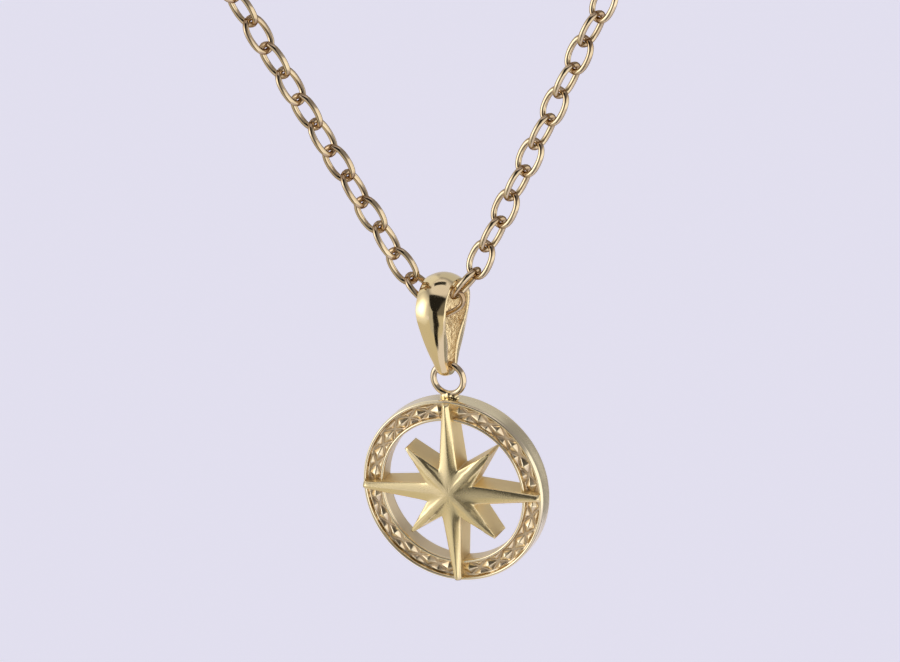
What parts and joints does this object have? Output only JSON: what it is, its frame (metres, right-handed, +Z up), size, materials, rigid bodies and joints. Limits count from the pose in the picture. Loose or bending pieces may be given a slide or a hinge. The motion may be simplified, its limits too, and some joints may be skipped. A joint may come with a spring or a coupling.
{
  "type": "compass pendant necklace",
  "caption": "Pierced compass-star disc in a raised-relief rim, hung from a teardrop band bail on a long oval-link cable chain that closes at the nape.",
  "frame": {"origin": "on the chain's centre line at the nape, in the middle of the clasp", "axes": "+Z up, -Y to the wearer's front, +X to the viewer's right when the pendant is seen from the front"},
  "size_m": [0.1191, 0.094, 0.1814],
  "materials": {
    "chain_gold": "polished",
    "bail_gold": "polished outside, as cast inside",
    "compass_gold": "polished beads and facets, satin hub"
  },
  "bodies": {
    "chain": {"chain_left": "chain_gold", "chain_right": "chain_gold", "clasp": "chain_gold"},
    "bail": {"bail": "bail_gold"},
    "compass": {"compass": "compass_gold"}
  },
  "joints": [
    {"name": "bail_swing", "type": "hinge", "parent": "chain", "child": "bail", "pos_m": [0, -0.08885, -0.1494], "axis": [0.965, -0.2622, 0], "range_deg": [-60, 60]},
    {"name": "compass_swing", "type": "hinge", "parent": "bail", "child": "compass", "pos_m": [0, -0.08885, -0.15561], "axis": [0.9836, -0.1805, 0], "range_deg": [-60, 60]}
  ]
}
